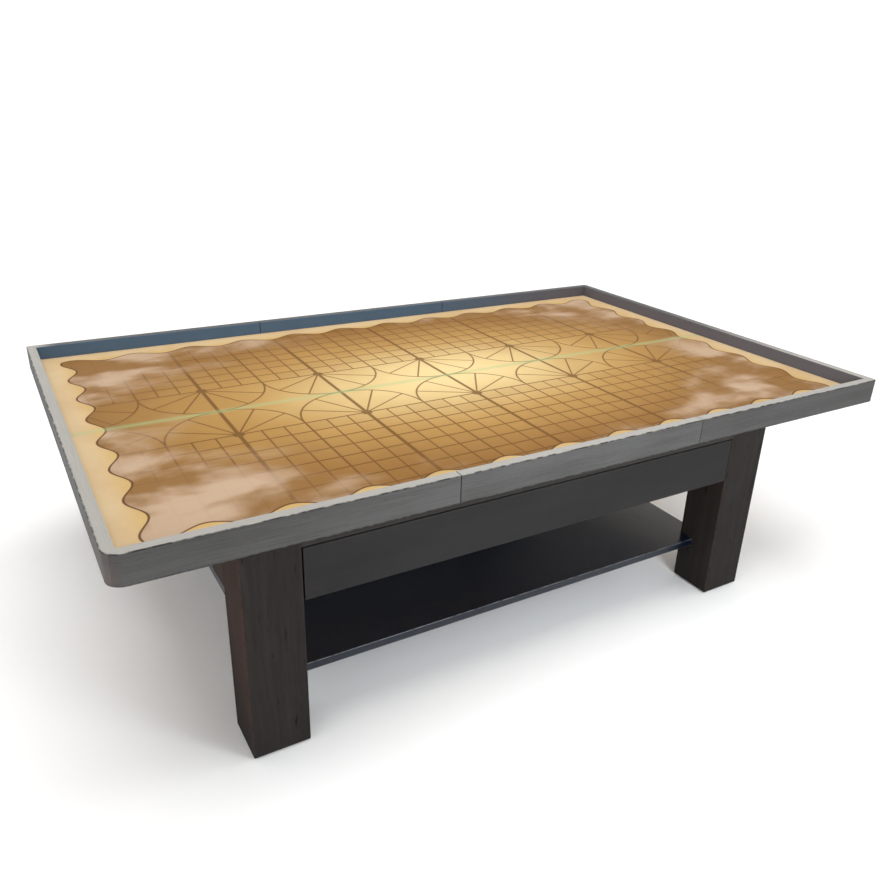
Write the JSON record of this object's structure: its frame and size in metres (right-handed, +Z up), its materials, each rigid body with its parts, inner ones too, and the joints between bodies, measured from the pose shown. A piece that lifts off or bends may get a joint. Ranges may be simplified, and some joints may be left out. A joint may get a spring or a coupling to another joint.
{
  "type": "gaming table",
  "caption": "Low gaming table with a raised-rim sectional play tray and a printed mat, lifting off a sturdy square-legged base that has a wide drawer and an open lower shelf.",
  "frame": {"origin": "on the floor, under the centre of the play tray", "axes": "+X along the long side, drawer opens towards -Y, +Z up"},
  "size_m": [1.88, 1.186, 0.498],
  "materials": {
    "rim_wood": "satin grey stain over fine open grain",
    "leg_wood": "satin dark grey-brown stain, straight grain",
    "apron_wood": "satin charcoal stain",
    "shelf_wood": "semi-gloss blue-black lacquer",
    "frame_wood": "dark stain, matt",
    "deck_plywood": "bare birch plywood",
    "batten_wood": "planed softwood",
    "drawer_plywood": "clear-coated birch plywood",
    "dowel_wood": "fluted beech",
    "mat_cloth": "printed stretch cloth on sponge rubber",
    "rubber": "matt",
    "glide_felt": "pressed felt",
    "screw_steel": "zinc plated",
    "lock_steel": "zinc plated, lightly brushed",
    "runner_steel": "bright zinc"
  },
  "bodies": {
    "base": {"back_apron": "apron_wood", "bearer_left": "frame_wood", "bearer_right": "frame_wood", "cleat_screws": "screw_steel", "drawer_bumpers": "rubber", "end_apron_left": "apron_wood", "end_apron_right": "apron_wood", "frame_dowels": "dowel_wood", "front_rail": "frame_wood", "leg_back_left": "leg_wood", "leg_back_right": "leg_wood", "leg_front_left": "leg_wood", "leg_front_right": "leg_wood", "leg_glides": "glide_felt", "lower_shelf": "shelf_wood", "runner_outer_left": "runner_steel", "runner_outer_right": "runner_steel", "runner_screws": "screw_steel", "shelf_cleats": "frame_wood", "top_board": "frame_wood"},
    "drawer": {"drawer_back": "drawer_plywood", "drawer_bottom": "drawer_plywood", "drawer_box_front": "drawer_plywood", "drawer_front": "apron_wood", "drawer_front_screws": "screw_steel", "drawer_runner_screws": "screw_steel", "drawer_side_left": "drawer_plywood", "drawer_side_right": "drawer_plywood", "runner_inner_left": "runner_steel", "runner_inner_right": "runner_steel"},
    "runner_middles": {"runner_middle_left": "runner_steel", "runner_middle_right": "runner_steel"},
    "game_tray": {"batten_screws": "screw_steel", "battens_left": "batten_wood", "battens_middle": "batten_wood", "battens_right": "batten_wood", "corner_blocks": "batten_wood", "deck_dowels": "dowel_wood", "deck_left": "deck_plywood", "deck_middle": "deck_plywood", "deck_right": "deck_plywood", "grip_pads": "rubber", "lock_keepers": "lock_steel", "lock_pivots": "lock_steel", "lock_plates": "lock_steel", "lock_screws": "screw_steel", "rim_back_left": "rim_wood", "rim_back_middle": "rim_wood", "rim_back_right": "rim_wood", "rim_dowels": "dowel_wood", "rim_end_left": "rim_wood", "rim_end_right": "rim_wood", "rim_front_left": "rim_wood", "rim_front_middle": "rim_wood", "rim_front_right": "rim_wood"},
    "mat": {"play_mat": "mat_cloth"},
    "hook_front_left": {"lock_hook_front_left": "lock_steel"},
    "hook_front_right": {"lock_hook_front_right": "lock_steel"},
    "hook_back_left": {"lock_hook_back_left": "lock_steel"},
    "hook_back_right": {"lock_hook_back_right": "lock_steel"}
  },
  "joints": [
    {"name": "drawer_slide", "type": "slide", "parent": "base", "child": "drawer", "axis": [0, -1, 0], "range_m": [0, 0.4]},
    {"name": "runner_middle_slide", "type": "slide", "parent": "base", "child": "runner_middles", "axis": [0, -1, 0], "range_m": [0, 0.2]},
    {"name": "tray_lift", "type": "slide", "parent": "base", "child": "game_tray", "axis": [0, 0, 1], "range_m": [0, 0.15]},
    {"name": "mat_lift", "type": "slide", "parent": "game_tray", "child": "mat", "axis": [0, 0, 1], "range_m": [0, 0.08]},
    {"name": "hook_turn_front_left", "type": "hinge", "parent": "game_tray", "child": "hook_front_left", "pos_m": [-0.27933, -0.3, 0.445], "axis": [0, 0, 1], "range_deg": [0, 90]},
    {"name": "hook_turn_front_right", "type": "hinge", "parent": "game_tray", "child": "hook_front_right", "pos_m": [0.27933, -0.3, 0.445], "axis": [0, 0, 1], "range_deg": [0, 90]},
    {"name": "hook_turn_back_left", "type": "hinge", "parent": "game_tray", "child": "hook_back_left", "pos_m": [-0.27933, 0.3, 0.445], "axis": [0, 0, 1], "range_deg": [0, 90]},
    {"name": "hook_turn_back_right", "type": "hinge", "parent": "game_tray", "child": "hook_back_right", "pos_m": [0.27933, 0.3, 0.445], "axis": [0, 0, 1], "range_deg": [0, 90]}
  ],
  "couplings": [
    {"joint": "runner_middle_slide", "follows": "drawer_slide", "ratio": 0.5}
  ]
}
